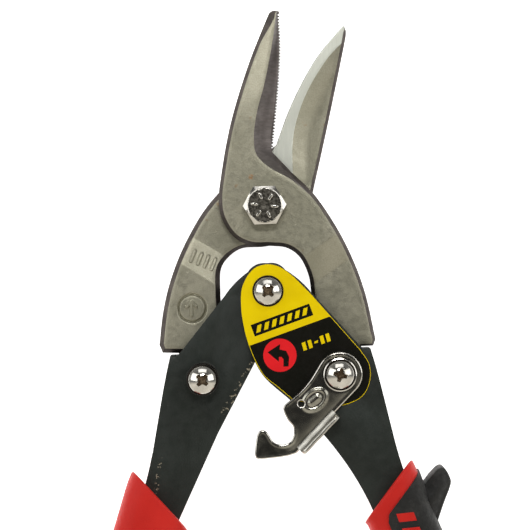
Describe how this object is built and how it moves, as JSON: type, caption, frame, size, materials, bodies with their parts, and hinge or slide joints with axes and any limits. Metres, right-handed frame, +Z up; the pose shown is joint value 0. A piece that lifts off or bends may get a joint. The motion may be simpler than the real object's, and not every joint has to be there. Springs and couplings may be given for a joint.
{
  "type": "aviation snips",
  "caption": "Compound-action aviation snips: two forged blades on a bolt, linked channel handles with moulded grips, a return spring and a hook latch.",
  "frame": {"origin": "centre of the main pivot bolt's lower end, on the surface that the tool lies on", "axes": "+Z up along the pivot bolt, +Y towards the jaw tips, +X to the right seen from above"},
  "size_m": [0.1478, 0.2393, 0.0255],
  "materials": {
    "forged_steel": "satin, bead-blasted",
    "chrome": "bright plated",
    "zinc": "zinc plated",
    "spring_steel": "oiled wire",
    "black_paint": "satin black paint, worn at the edges",
    "label": "glossy printed film",
    "red_grip": "satin moulded plastic",
    "black_rubber": "matt moulded rubber"
  },
  "bodies": {
    "front_blade": {"front_blade": "forged_steel", "pivot_bolt": "chrome", "pivot_washer": "zinc", "pivot_lock_nut": "zinc"},
    "rear_blade": {"rear_blade": "forged_steel"},
    "right_handle": {"right_handle_channel": "black_paint", "right_pivot_barrel": "zinc", "right_pivot_screw": "chrome", "right_pivot_spacers": "zinc", "latch_spring_washer": "chrome", "centre_pivot_barrel": "zinc", "centre_pivot_screw": "chrome", "cut_label": "label", "return_spring": "spring_steel", "right_grip_core": "red_grip", "right_grip_overmould": "black_rubber"},
    "left_handle": {"left_handle_channel": "black_paint", "left_pivot_barrel": "zinc", "left_pivot_screw": "chrome", "latch_post": "chrome", "left_grip_core": "red_grip", "left_grip_overmould": "black_rubber"},
    "latch": {"latch_hook": "chrome"}
  },
  "joints": [
    {"name": "main_pivot", "type": "hinge", "parent": "front_blade", "child": "rear_blade", "pos_m": [0, 0, 0.012], "axis": [0, 0, 1], "range_deg": [0, 18.5], "stiffness_Nm_per_rad": 1.2, "springref_deg": -8.59},
    {"name": "right_handle_pivot", "type": "hinge", "parent": "front_blade", "child": "right_handle", "pos_m": [0.0202, -0.0505, 0.012], "axis": [0, 0, 1], "range_deg": [-8.3, 0.1], "deforming": ["return_spring"]},
    {"name": "left_handle_pivot", "type": "hinge", "parent": "rear_blade", "child": "left_handle", "pos_m": [-0.0202, -0.0505, 0.012], "axis": [0, 0, 1], "range_deg": [-0.1, 8.3]},
    {"name": "latch_pivot", "type": "hinge", "parent": "right_handle", "child": "latch", "pos_m": [0.0202, -0.0505, 0.02], "axis": [0, 0, 1], "range_deg": [-25, 12]}
  ],
  "couplings": [
    {"joint": "right_handle_pivot", "follows": "main_pivot", "ratio": -0.439},
    {"joint": "left_handle_pivot", "follows": "main_pivot", "ratio": 0.439}
  ]
}
